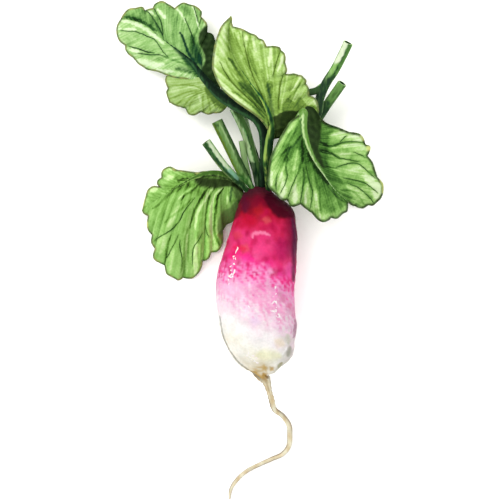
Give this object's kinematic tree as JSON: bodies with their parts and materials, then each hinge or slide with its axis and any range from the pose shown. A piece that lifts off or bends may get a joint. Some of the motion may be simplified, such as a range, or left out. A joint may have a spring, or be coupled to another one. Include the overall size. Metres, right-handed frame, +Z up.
{
  "type": "radish",
  "caption": "Long two-tone radish as picked, with its leaves, bare cut stalks and thin winding taproot, lying on its side.",
  "frame": {"origin": "under the middle of the bounding box, on the surface that the radish lies on", "axes": "+Z up, +Y along the root from the taproot's tip towards the leaves, +X to the right seen from above"},
  "size_m": [0.0748, 0.139, 0.027],
  "materials": {
    "root_skin": "satin",
    "leaf": "satin",
    "stalk": "satin"
  },
  "bodies": {
    "root": {"root": "root_skin", "leaf_upper_left": "leaf", "leaf_top": "leaf", "leaf_right": "leaf", "leaf_lower_left": "leaf", "cut_stalk_left_low": "stalk", "cut_stalk_left_high": "stalk", "young_stalk": "stalk", "stalk_behind_left": "stalk", "stalk_behind_right": "stalk", "cut_stalk_right_long": "stalk", "cut_stalk_right_short": "stalk"}
  },
  "joints": []
}
